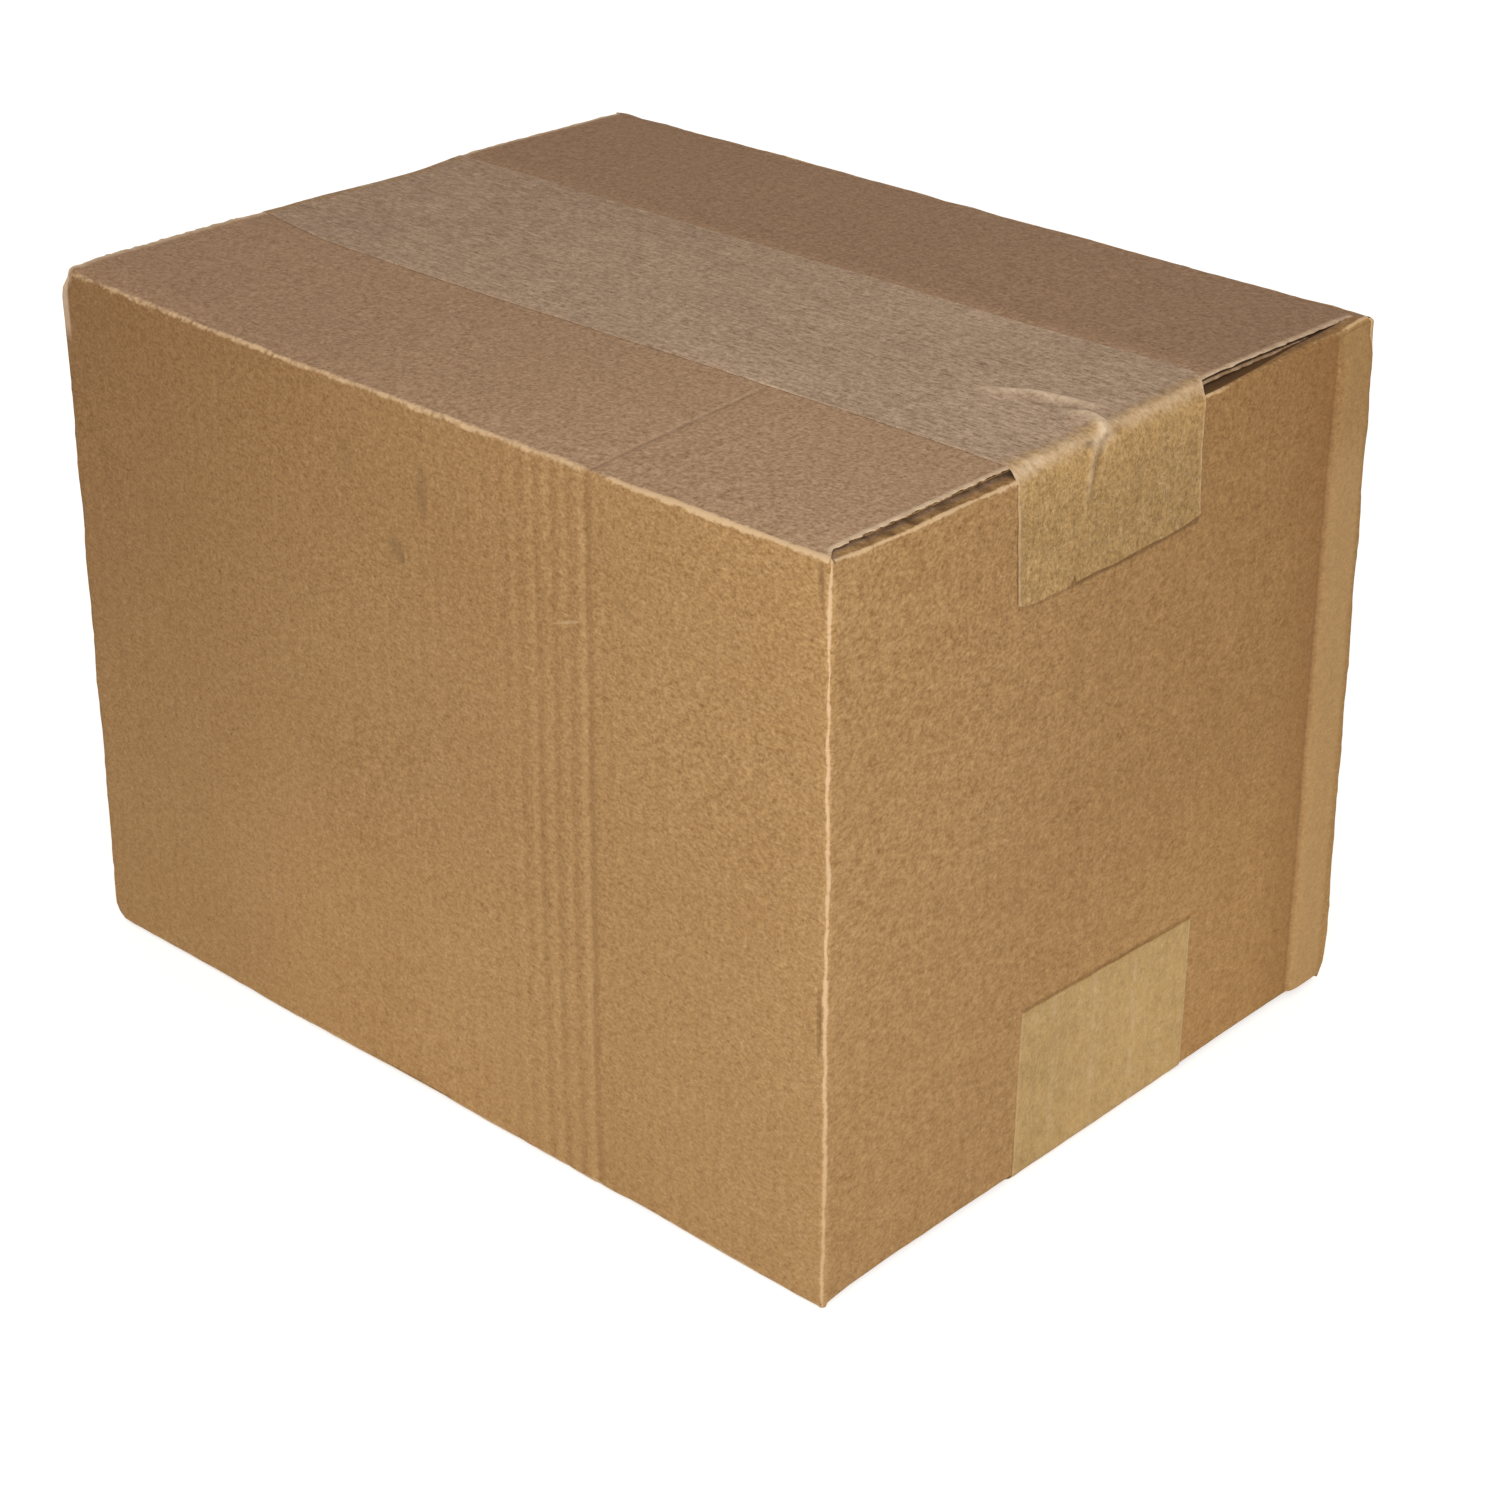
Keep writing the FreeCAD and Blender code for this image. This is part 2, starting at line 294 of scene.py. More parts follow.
def wall_outline():
    """Places round the outside of the walls, seen from above, and which way they face.

    Straight runs joined by quarter circles, with a step out at the glue tab's edge:
    returns x, y and the two parts of the outward direction of every place.
    """
    r = CORNER
    tab = RIGHT + TAB_THICK
    parts = []

    def run(xs, ys, nx, ny):
        parts.append(np.broadcast_arrays(xs, ys, nx, ny))

    def corner(cx, cy, start):
        angle = np.radians(start + np.linspace(0, 90, 9)[1:-1])
        nx, ny = np.cos(angle), np.sin(angle)
        parts.append((cx + r * nx, cy + r * ny, nx, ny))

    inner = FRONT_COLUMNS[1:-1]
    run([-RIGHT + r, -COLUMN_END, *inner, *spaced(COLUMN_END, RIGHT - r, 0.4)], FRONT, 0, -1)
    corner(RIGHT - r, FRONT + r, -90)
    low_part = [FRONT + r, *spaced(-NOTCH - 0.1, -NOTCH + 0.2, 0.3)]
    up_to_tab = [*spaced(-109, -98, 1.1), *spaced(-94, 92, 3), *spaced(93.6, 96.4, 0.7)]
    run(RIGHT, low_part + up_to_tab, 1, 0)
    rise = np.array([0, 0.25, 0.55, 0.8, 0.95, 1])
    run(RIGHT + TAB_THICK * rise, TAB_EDGE + np.array([0, 0.15, 0.6, 1.6, 3, 4.4]), 1, 0)
    run(tab, [103.5, 107, 110, NOTCH - 0.2, NOTCH + 0.1], 1, 0)
    corner(tab - r, BACK - r, 0)
    run([tab - r, *spaced(145, -145, 3), LEFT + r], BACK, 0, 1)
    corner(LEFT + r, BACK - r, 90)
    near_back = [BACK - r, NOTCH + 0.1, NOTCH - 0.2]
    near_front = [-NOTCH + 0.2, -NOTCH - 0.1, FRONT + r]
    run(LEFT, [*near_back, *spaced(109, -109, 3.2), *near_front], -1, 0)
    corner(LEFT + r, FRONT + r, 180)
    return tuple(np.concatenate(part) for part in zip(*parts))


def carton_walls():
    """The four walls with the glue tab, as a closed ring of board.

    Columns go round the outline and rows go up the outside, over the top edge,
    down the inside and back under. A place is outline + height * up, less what is
    pressed in along the outward direction.
    """
    x, y, nx, ny = wall_outline()
    end_wall = (np.abs(nx) > 0.99) & (np.abs(y) < NOTCH)
    in_corner = np.abs(nx * ny) > 1e-4
    low = np.where(end_wall, inner_level(x, y, False) + INNER_FOLD, BOTTOM + SCORE_DIP + FOLD)
    low = np.where(in_corner, BOTTOM + 0.55 + 0.35 * ((x > 0) & (y > 0)), low)
    high = np.where(end_wall, inner_level(x, y, True) - INNER_FOLD, TOP - SCORE_DIP - FOLD)
    high = np.where(in_corner, TOP - 0.75, high)
    up = np.concatenate([
        np.linspace(0, 0.01, 7)[:-1], np.linspace(0.01, 0.05, 4)[:-1], np.linspace(0.05, 0.95, 84),
        np.linspace(0.95, 0.99, 4)[1:], np.linspace(0.99, 1, 7)[1:],
    ])[:, None]
    z = low + (high - low) * up
    x, y, nx, ny = (np.broadcast_to(part, z.shape) for part in (x, y, nx, ny))

    on_front, on_back, on_end = (smooth(0.6, 1, way) for way in (-ny, ny, np.abs(nx)))
    pressed = on_front * long_wall_press(-1, x, z) + on_back * long_wall_press(1, x, z)
    pressed += on_end * end_wall_press(np.sign(nx), y, z)

    # The near fold has a dent a third of the way up and a groove beside its top
    pressed += on_front * 0.55 * hump(z, 9, 87) * hump(x, 1.1, 147.2)
    pressed += on_front * 0.40 * hump(z, 5, 206) * hump(x, 0.8, 146.8)

    # All folds are rounded off at their ends and a bit uneven
    round_off = np.clip(z - (TOP - 2.3), 0, 1.6) ** 2 + np.clip(BOTTOM + 1.4 - z, 0, 1.2) ** 2
    pressed += 0.55 * in_corner * round_off
    at_fold = np.clip(np.abs(nx * ny) * 2.4, 0, 1)
    quarter = np.sign(nx) * 300 + np.sign(ny) * 150
    pressed += at_fold * (0.17 * waves(z, quarter, 7, 26) + 0.10 * waves(z, quarter, 8, 6))

    # The folds' middles are worn light, partly a painted highlight, more widely near the foot
    swing = 0.09 * waves(z, quarter, 11, 60) + 0.06 * waves(z, quarter, 12, 12)
    bent = np.degrees(np.arctan2(np.abs(ny), np.abs(nx))) / 90 - 0.5 + swing
    width = 0.25 + 0.06 * waves(z, quarter, 13, 22) + 0.04 * waves(z, quarter, 14, 5)
    width += 0.12 * hump(z, 5, 11) - 0.05 * smooth(150, 214, z)
    wear_and_highlight = hump(bent, np.maximum(width, 0.08)) * in_corner
    left_fold = hump(np.hypot(x - LEFT, y - FRONT), 4)
    wear_and_highlight = np.maximum(wear_and_highlight, 0.8 * left_fold * smooth(201, 209, z))

    # The tab's edge leans and wavers, it thins out at the top and is crushed at the foot
    tab_wave = 0.30 * wander(z, 9, 40) + 0.10 * wander(z, 10, 6) + tab_lean(z)
    y = y + (nx > 0.99) * tab_wave * smooth(85, 96.5, y) * (1 - smooth(99, 108, y))
    on_tab = (nx > 0.3) * (np.abs(ny) < 0.95)
    pressed += np.clip(x - RIGHT, 0, 1.35) * smooth(203, 211, z) * on_tab
    pressed += 0.3 * (1 - smooth(3.5, 15, z)) * smooth(98, 113, y) * (x > 130)

    outside = blunted(x - nx * pressed, y - ny * pressed, z)
    inner_x = np.clip(x - nx * BOARD, LEFT + BOARD, RIGHT - BOARD)
    inner_y = np.clip(y - ny * BOARD, FRONT + BOARD, BACK - BOARD)
    inner_rows = [-1, len(up) // 2, 0]
    inside = blunted(inner_x, inner_y, z)[inner_rows]
    wear_and_highlight = np.concatenate([wear_and_highlight, 0 * wear_and_highlight[inner_rows]])
    marks = {"wear_and_highlight": wear_and_highlight, "pale": 0 * wear_and_highlight, "deep": 0 * wear_and_highlight}
    return make_piece("carton_walls", np.concatenate([outside, inside]), True, marks)


def flap_rise(x, y):
    """How far the top flaps stand up: the board has sprung between fold and tape.

    A height across the carton at the left end and another at the right end, each
    fading out along the flap as (1 - distance / reach)^2.
    """
    left_y = (-112, -98, -70, -52, -40, -20, 0, 22, 44.5, 67, 90, 112)
    left_z = (1.1, 1.8, 2.6, 2.5, 1.6, 1.4, 0.7, 0.3, 1.5, 0.9, 0.4, 0)
    right_y = (-112, -80, -55, -42, -10, 20, 36, 52, 75, 98, 112)
    right_z = (0, 0.25, 0.45, 0.35, 0, 0.35, 1.2, 1.3, 0.8, 0.15, 0)
    at_left = rounded_line(y, left_y, left_z, 5)
    at_right = rounded_line(y, right_y, right_z, 4)
    fade_left = np.clip(1 - (x - LEFT - FLAP_INSET) / 105, 0, 1.05) ** 2
    fade_right = np.clip(1 - (RIGHT - FLAP_INSET - x) / 90, 0, 1.05) ** 2
    rise = at_left * fade_left + at_right * fade_right
    away = smooth(0, 10, BACK - FOLD - np.abs(y))
    return rise + away * (0.14 * waves(x, y, 21, 95) + 0.03 * waves(x, y, 22, 13))


def crease_depth(x, y):
    """The crease across the front top flap: two soft valleys a flute apart, the left
    one deeper, depth * exp(-(distance / width)^2) about a slightly bent line."""
    distance, side, share = from_route(x, y, CREASE)
    off = -distance * side - 0.30 * wander(y, 23, 40)
    fade = 0.50 + 0.50 * (1 - smooth(0.1, 1, share))
    return (y < 0) * fade * (0.24 * hump(off, 1.2, -0.9) + 0.09 * hump(off, 1.4, 5.6))


def flap_path(long_wall, reach, step):
    """A flap's path, from level with the wall's top, round a quarter circle and out
    flat over the reach, as columns of numbers.

    On a long wall it rises out of the score by SCORE_DIP (1 - exp(-(distance / 6)^2)).
    Returns the way out, the way up, the face's outward and upward parts, and the
    length walked.
    """
    radius = FOLD if long_wall else INNER_FOLD
    dip = SCORE_DIP if long_wall else 0
    turn = np.radians(np.linspace(0, 90, 13))
    flat = [spaced(*run)[1:] for run in ((0, 3, 0.5), (3, 12, 1), (12, reach, step))]
    flat = np.concatenate(flat)
    out = np.concatenate([radius * (1 - np.cos(turn)), radius + flat])
    up = np.concatenate([radius * (np.sin(turn) - 1) - dip, -dip * hump(flat, 6)])
    n_out = np.concatenate([np.cos(turn), 0 * flat])
    n_up = np.concatenate([np.sin(turn), 1 + 0 * flat])
    walked = np.concatenate([radius * turn, radius * math.pi / 2 + flat])
    return tuple(part[:, None] for part in (out, up, n_out, n_up, walked))


def folded_flap(name, long_wall, side, is_top):
    """A flap of board from its wall, round the fold and out flat.

    A closed section across the flap is carried along its path: two liners with an
    open flute between their cut ends. Across the flap is X for a long wall's flap and
    Y for an end wall's. side is -1 at the front or left, and 1 at the back or right.
    """
    at_front = long_wall and side < 0
    if long_wall:
        half, reach, radius = RIGHT - FLAP_INSET, BACK - FOLD - 0.5, FOLD
        places = FRONT_COLUMNS if at_front else BACK_COLUMNS
    else:
        half, reach, radius = NOTCH, 114 - INNER_FOLD, INNER_FOLD
        places = spaced(-NOTCH, NOTCH, 2.2)
    thick = FLAP_BOARD + (0.5 if long_wall and side > 0 else 0)
    low_liner = LINER + (0.35 if side > 0 else 0)
    low_face = thick - low_liner

    # Across: the upper liner, the right cut end, the lower liner, the left cut end
    recess = 1.5 if side < 0 else 0.5
    inset = np.array([0, -1.3, -2, -1.3, -recess])
    cut_depth = np.array([LINER, LINER + 0.08, thick / 2, low_face - 0.08, low_face])
    lower = np.clip(places[::-1], -half + recess, half - recess) if long_wall else places[::-1]
    across = np.concatenate([places, half + inset, lower, -half - inset[::-1]])
    depth = np.concatenate([0 * places, cut_depth, thick + 0 * places, cut_depth[::-1]])
    in_flute = (depth > LINER + 0.01) & (depth < low_face - 0.01)
    is_liner = ~in_flute

    path = flap_path(long_wall, reach, 0.9 if at_front and is_top else 1.9)
    across, depth = (part + 0 * path[0] for part in (across, depth))
    out, up, n_out, n_up, walked = (part + 0 * across for part in path)
    upper = depth < 0.01

    # The cut ends start slanted in at the fold, and their edges are ragged
    which = np.round(depth) * 40 + np.sign(across) * 300 + side * 90
    ragged = 0.22 * waves(walked, which, 31, 6)
    ragged += (0.26 if side < 0 else 0.12) * waves(walked, which, 32, 2.4)
    slant = (3.3 if long_wall else 0) * (1 - smooth(1, 6.5, walked))
    slant *= smooth(half - 8, half - 1.5, np.abs(across))
    at_edge = smooth(half - 2.5, half - 0.1, np.abs(across)) * is_liner * smooth(4, 8, walked)
    across += np.sign(across) * (slant + at_edge * ragged)

    # The board is thinner where the score has crushed it
    depth *= 0.30 + 0.70 * smooth(1.5, 8.5, walked)
    in_turn = walked <= radius * math.pi / 2 + 0.01
    depth = np.where(in_turn, np.minimum(depth, radius * 0.98), depth)
    uneven = 0.13 * waves(across, walked * 0.3, 34 + side, 26)
    uneven += 0.06 * waves(across, walked * 0.3, 37 + side, 5)
    depth += uneven * hump(walked, 1.3, 2.2) * upper

    flip = 1 if is_top else -1
    if long_wall:
        x, y = across, side * (BACK - out)
        level = TOP if is_top else BOTTOM
        wall_height = level - flip * (SCORE_DIP + FOLD) + 0 * x
        rise = flap_rise(x, y) - crease_depth(x, y) * upper if is_top else 0 * x
        pressed = long_wall_press(side, x, wall_height)
    else:
        x, y = side * (RIGHT - out), across
        level = inner_level(side, y, is_top)
        rise = 0 * x
        pressed = end_wall_press(side, y, level - flip * INNER_FOLD)
    rise *= smooth(0.8, 4.5, walked)
    depth += (1 - smooth(0.3, 4, walked)) * pressed * upper
    sideways = side * n_out
    z = level + flip * (up + rise - n_up * depth)
    if long_wall:
        y -= sideways * depth
    else:
        x -= sideways * depth
    grid = blunted(x, y, z)

    def closing(row):
        """The section at an end of the path, drawn in to half the board's thickness."""
        shift = (depth[row] - depth[row].max() / 2)[:, None]
        toward = np.stack([0 * x[row], 0 * x[row], flip * n_up[row]], axis=-1)
        toward[:, 1 if long_wall else 0] = sideways[row]
        return (grid[row] + shift * toward)[None]

    # Worn light along the fold's crest, partly a painted highlight, in a line of changing width
    crest = radius * math.pi * (0.30 if is_top else 0.25) + 0.22 * wander(across, 38 + side, 22)
    worn_width = (1.25 if long_wall else 0.80) + 0.26 * wander(across, 45 + side, 8)
    if at_front:
        worn_width += 0.45 * smooth(-20, 30, x) * (1 - smooth(66, 70, x))
    wear_and_highlight = hump(walked - crest, np.maximum(worn_width, 0.5)) * upper
    if at_front and is_top:
        strength = 0.62 + 0.20 * smooth(-140, -60, x) + 0.30 * smooth(74, 95, x)
        wear_and_highlight *= strength * (1 - 0.85 * hump(x, 3.2, 71))

    # Pale at the liners' cut edges, and painted shade inside the open flute
    torn = np.clip(0.35 + 0.9 * waves(walked, which, 39, 5), 0, 1)
    pale = smooth(half - 1.5, half - 0.5, np.abs(across) - slant) * is_liner * (walked > 3)
    low_pale = 0.10 if side < 0 else 0.20 + 0.5 * torn
    pale *= np.where(depth > thick / 2, low_pale, 0.75 + 0.35 * torn)
    deep = in_flute * smooth(3.5, 6.5, walked)

    # What is seen of the inner top flaps gets painted shade in the gap, more so past the tape
    if not long_wall and is_top:
        past_tape = smooth(30, 36, y)
        start = 1.3 + 3.2 * smooth(42, 94, y)
        streaks = 0.46 + 0.13 * waves(y, 0.3 * walked, 46, 3.2)
        deep = smooth(start, start + 0.8, walked) * (streaks * (1 - past_tape) + past_tape)
        deep *= 1 - smooth(101, 107, y)
        wear_and_highlight *= 1 - 0.55 * smooth(36, 50, y) * (1 - smooth(96, 106, y))
        pale = smooth(1.6, 2.4, walked) * (1 - smooth(3, 5, walked))
        pale *= smooth(99, 104, y) * 0.6 * torn
    marks = {"wear_and_highlight": wear_and_highlight, "pale": pale, "deep": deep}
    marks = {mark: np.concatenate([v[:1], v, v[-1:]]) for mark, v in marks.items()}
    return make_piece(name, np.concatenate([closing(0), grid, closing(-1)]), False, marks)


# Half of the tapes' length on the level, to the start of the drop
LEVEL_HALF = RIGHT - FLAP_INSET + 0.6


def tape_route(level, down, drop):
    """Places along a tape in (x, height), from one end wall over to the other.

    Straight runs with each bend rounded by a quadratic curve: up the left wall,
    sloping in to the flaps' ends, along the seam, and down the same way.
    """
    end = RIGHT + TAPE
    slope_end = level + down * (3.4 if down < 0 else 2.4)
    foot = level + down * drop
    right_half = [(LEVEL_HALF, level), (end, slope_end), (end, foot)]
    left_half = [(-x, height) for x, height in reversed(right_half)]
    points = np.array(left_half + right_half)
    places = [points[0]]

    def straight_to(stop):
        start = places[-1]
        length = np.linalg.norm(stop - start)
        count = max(2, int(length / (0.9 if length < 60 else 1.6)))
        places.extend(start + (stop - start) * t for t in np.linspace(0, 1, count + 1)[1:])

    rounding = 1.7
    for before, here, after in zip(points[:-2], points[1:-1], points[2:]):
        start = here + (before - here) / np.linalg.norm(before - here) * rounding
        stop = here + (after - here) / np.linalg.norm(after - here) * rounding
        straight_to(start)
        for t in np.linspace(0, 1, 9)[1:]:
            places.append((1 - t) ** 2 * start + 2 * t * (1 - t) * here + t * t * stop)
    straight_to(points[-1])
    return np.array(places)


def tape_piece(name, is_top, near_edge, far_edge, drop, foot, lift):
    """Paper tape as a thin closed strip that follows the board under it.

    Rows go along the tape's route and columns across it, between the near edge and
    the far edge at each place along. foot gives how far down or up the wall each end
    reaches across the tape, and lift how far the paper stands off the board.
    """
    down = -1 if is_top else 1
    level = TOP + TAPE if is_top else BOTTOM - TAPE + 0.02
    route = tape_route(level, down, drop)
    steps = np.linalg.norm(np.diff(route, axis=0), axis=1)
    s = np.concatenate([[0], np.cumsum(steps)])
    ahead = np.gradient(route, axis=0)
    ahead = ahead / np.linalg.norm(ahead, axis=1)[:, None]
    t = np.concatenate([[0, 0.004], np.linspace(0.012, 0.988, 74), [0.996, 1]])
    s = (s - s[-1] / 2)[:, None] + 0 * t
    near = edge_line(s, near_edge)
    y = near + (edge_line(s, far_edge) - near) * t
    x = route[:, :1] + 0 * t
    z = route[:, 1:] + 0 * t
    nx, nz = down * ahead[:, 1:] + 0 * t, -down * ahead[:, :1] + 0 * t

    # The ends' last edges: places past the edge are drawn back along the tape
    z = level + down * np.minimum(np.abs(z - level), foot(np.sign(x), y))
    if is_top:
        on_board = 1 - smooth(0.3, 3.4, np.abs(z - level))
        z += flap_rise(x, y) * on_board + 0.06 * np.abs(nz)
    height, rub_and_highlight, painted_fold_shade = lift(s, y, x, z)
    paper = TAPE - 0.02
    outside = np.stack([x + nx * height, y, z + nz * height], axis=-1)
    inside = np.stack([x - nx * paper, y, z - nz * paper], axis=-1)
    middle = (outside + inside) / 2
    loop = np.concatenate([outside, inside[:, ::-1]], axis=1)
    closing = np.concatenate([middle, middle[:, ::-1]], axis=1)

    def both(values):
        """A mark for the paper's outside and inside, and for its closed ends."""
        wide = np.concatenate([values, values[:, ::-1]], axis=1)
        return np.concatenate([wide[:1], wide, wide[-1:]])

    grid = np.concatenate([closing[:1], loop, closing[-1:]])
    return make_piece(name, grid, False, {"rub_and_highlight": both(rub_and_highlight), "painted_fold_shade": both(painted_fold_shade)})


# The tapes' edges: places along, where the edge lies there, the blur between them, and
# the size of a small waver. The top tape's far edge is drawn in by the pleat, and the
# bottom tape lies a little aslant on the right end wall.
TOP_NEAR = (
    (-185, -155, -146, -113, -60, 20, 95, 140, 148, 152, 156, 170, 190),
    (-41, -41.5, -41, -45.2, -43.8, -42.6, -41.8, -43, -43.8, -44.6, -44.4, -43.4, -42.6),
    2, (0.10, 71, 9),
)
TOP_FAR = (
    (-185, -155, -146, -110, 0, 110, 140, 145, 148, 152, 163, 182, 190),
    (40, 40, 39.5, 41, 41.8, 41.6, 41, 39.2, 35.8, 34.4, 34, 34.7, 34.9),
    1.6, (0.10, 72, 9),
)
BOTTOM_NEAR = ((-200, -150, 0, 150, 203), (-37, -36, -35.2, -36.4, -34.8), 3, (0.08, 81, 10))
BOTTOM_FAR = ((-200, -150, 0, 150, 200), (41.5, 42, 42.8, 41.4, 42.3), 3, (0.08, 82, 10))


def edge_line(s, edge):
    """Where a tape's edge lies across, at each place along it."""
    places, across, blur, (height, seed, size) = edge
    return rounded_line(s, places, across, blur) + height * wander(s, seed, size)


def top_foot(end, y):
    """How far down each end of the top tape hangs: its lower edge, its rounded and
    cut corners, and the nick left of its middle at the right end."""
    places = (-44, -42.5, -40, -36, -22, 6, 25, 33, 36.5)
    falls = (36.4, 37, 38.2, 38.3, 38.1, 37.7, 37.2, 36.4, 34.6)
    right = rounded_line(y, places, falls, 0.5) + 0.12 * wander(y, 73, 12)
    right -= 2.6 * np.clip(1.3 - np.abs(y + 20.4) / 0.9, 0, 1)
    left = 36.8 + 0.15 * wander(y, 74, 14) - 1.2 * smooth(37.5, 40, y)
    return np.where(end > 0, right, left)


def top_lift(s, y, x, z):
    """The top tape's paper off the board: the wrinkle, the pleat and small cockles.

    A wrinkle is height * exp(-(distance / width)^2) about its route, and the second
    one is steeper on one side. Returns the lift, where the paper is rubbed light and
    partly painted as highlight, and where painted shade lies in its folds.
    """
    bend = LEVEL_HALF
    cockle = 0.05 * waves(s, y, 75, 16) + 0.03 * waves(s * 0.35, y, 76, 4)
    cockle += smooth(118, 150, s) * 0.10 * waves(s, y, 77, 11)

    # The wrinkle on the level: a broad swell, a bulge over the bend, a line between
    broad = [(101, -7), (111.5, -4.4), (118.5, 0.4), (126.5, 1.8), (137, 4.2)]
    d1, _, share1 = from_route(s, y, broad)
    swell1 = smooth(0, 0.35, share1) * (1 - 0.6 * smooth(0.75, 1, share1))
    bulge = [(130, -4.8), (137, -3.7), (140.8, -2.6), (144.2, -4.2), (bend + 1.9, -7.4)]
    d2, side2, share2 = from_route(s, y, [*bulge, (bend + 4.2, -9.8)])
    swell2 = smooth(0, 0.40, share2) * (1 - 0.75 * smooth(0.75, 1, share2))
    ridge = np.maximum(swell1 * hump(d1, 2.6), 1.75 * swell2 * hump(d2, np.where(side2 > 0, 2, 3.4)))
    d3, _, share3 = from_route(s, y, [(121, -5.4), (132, -0.6), (139, 1.6)])
    line3 = smooth(0, 0.15, share3) * (1 - smooth(0.9, 1, share3))
    ridge -= 0.35 * line3 * hump(d3, 0.9)

    # The pleat on the drop: a valley with a roll beside it, and two fainter lines
    pleat = [
        (bend + 1.9, -6), (bend + 3.6, -9.6), (bend + 6.9, -12.2),
        (bend + 10.8, -12.9), (bend + 17.2, -14), (bend + 24, -14.3),
    ]
    away, way, along = from_route(s, y, pleat)
    fade = 1 - smooth(0.30, 1, along)
    past = smooth(bend, bend + 3, s)
    valley = -0.60 * fade * hump(away, 1.1) * past
    roll = 0.75 * fade * hump(away * way, 1.6, -2.6) * past
    d4, _, share4 = from_route(s, y, [(bend + 3, -12), (bend + 6.7, -14.4), (bend + 13.3, -15.8)])
    line4 = (1 - smooth(0.4, 1, share4)) * hump(d4, 0.7)
    d5, _, _ = from_route(s, y, [(bend + 15, 22), (bend + 30, 23.2)])
    valley -= 0.25 * line4 + 0.06 * hump(d5, 0.8)

    # Rubbed light along the wrinkles, over the bends and at the edges, partly a painted highlight on the
    # ridges
    near_edge = y - edge_line(s, TOP_NEAR)
    edge = np.minimum(near_edge, edge_line(s, TOP_FAR) - y)
    rub_and_highlight = 0.85 * swell1 * hump(d1, 1.8) + 0.95 * swell2 * hump(d2, 1.9)
    rub_and_highlight += 0.50 * fade * hump(away * way, 1.1, -2.3) * past
    fold = np.abs(s) - bend - 1.2 - 0.9 * wander(y, 78, 17) - 0.5 * wander(y, 79, 5)
    rub_and_highlight += hump(fold, 2.2) * (0.46 + 0.30 * hump(y, 9, -38))
    rub_and_highlight += 0.45 * hump(edge, 0.35) * (0.45 + 0.55 * smooth(bend, bend + 3, np.abs(s)))
    rub_and_highlight += 0.60 * hump(s, 9, 65) * hump(near_edge, 0.6)

    # Painted shade in the pleat, in the line between, and in two small holes
    hole = hump(s, 0.9, bend + 2.4) * hump(y, 1.3, -14)
    painted_fold_shade = 0.60 * fade * hump(away, 0.85) * past + 0.55 * line3 * hump(d3, 0.65) + 0.32 * line4 * past
    painted_fold_shade += 0.9 * hole + 0.6 * hump(s, 1.1, 134.5) * hump(y, 0.8, -9.5)

    foot = top_foot(np.sign(x), y) - np.abs(z - TOP - TAPE)
    loose = 0.30 * hump(foot, 1.6) + 0.16 * hump(edge, 1) * smooth(bend, bend + 6, s)
    height = 0.04 + cockle * smooth(0, 3, edge) + ridge + valley + roll - 0.5 * hole + loose
    return np.maximum(height, -0.12), np.clip(rub_and_highlight, 0, 1), np.clip(painted_fold_shade, 0, 1)


def bottom_foot(end, y):
    """How far up each end of the bottom tape stands: its upper edge is aslant."""
    right = 54.8 - 3.3 * (y + 34.9) / 77.2 + 0.10 * wander(y, 83, 9)
    left = 52 + 1.2 * (y - 3) / 76 + 0.10 * wander(y, 84, 9)
    return np.where(end > 0, right, left)


def bottom_lift(s, y, x, z):
    """The bottom tape's paper off the board: cockles and a loose last edge. Returns the
    lift, where the paper is rubbed light and partly painted as highlight, with three
    upright lines, and no painted shade."""
    on_wall = smooth(147, 153, np.abs(s))
    height = on_wall * (0.03 + 0.05 * waves(s, y, 85, 14) + 0.05 * waves(s * 0.12, y, 86, 5.5))
    edge = np.minimum(y - edge_line(s, BOTTOM_NEAR), edge_line(s, BOTTOM_FAR) - y)
    rub_and_highlight = 0.25 * hump(edge, 0.45) + 0.30 * hump(np.abs(s), 2, 149)
    for line in (-20.4, -2.2, 16.5):
        upright = hump(y - 0.3 * wander(z, 87, 20), 0.9, line)
        rub_and_highlight += 0.26 * upright * on_wall * np.clip(0.6 + waves(z, line, 88, 13), 0, 1)
    loose = 0.22 * hump(bottom_foot(np.sign(x), y) - z, 1.6) * on_wall
    return height * smooth(0, 2, edge) + loose, np.clip(rub_and_highlight, 0, 1), 0 * s


class Value:
    """A shader value: an operator on it adds a Math node and gives the result."""

    def __init__(self, finish, socket):
        self.finish = finish
        self.socket = socket

    def __add__(self, other):
        return self.finish.math("ADD", self, other)

    __radd__ = __add__

    def __sub__(self, other):
        return self.finish.math("SUBTRACT", self, other)

    def __rsub__(self, other):
        return self.finish.math("SUBTRACT", other, self)

    def __mul__(self, other):
        return self.finish.math("MULTIPLY", self, other)

    __rmul__ = __mul__

    def __truediv__(self, other):
        return self.finish.math("DIVIDE", self, other)

    def __pow__(self, other):
        return self.finish.math("POWER", self, other)

    def __abs__(self):
        return self.finish.math("ABSOLUTE", self)


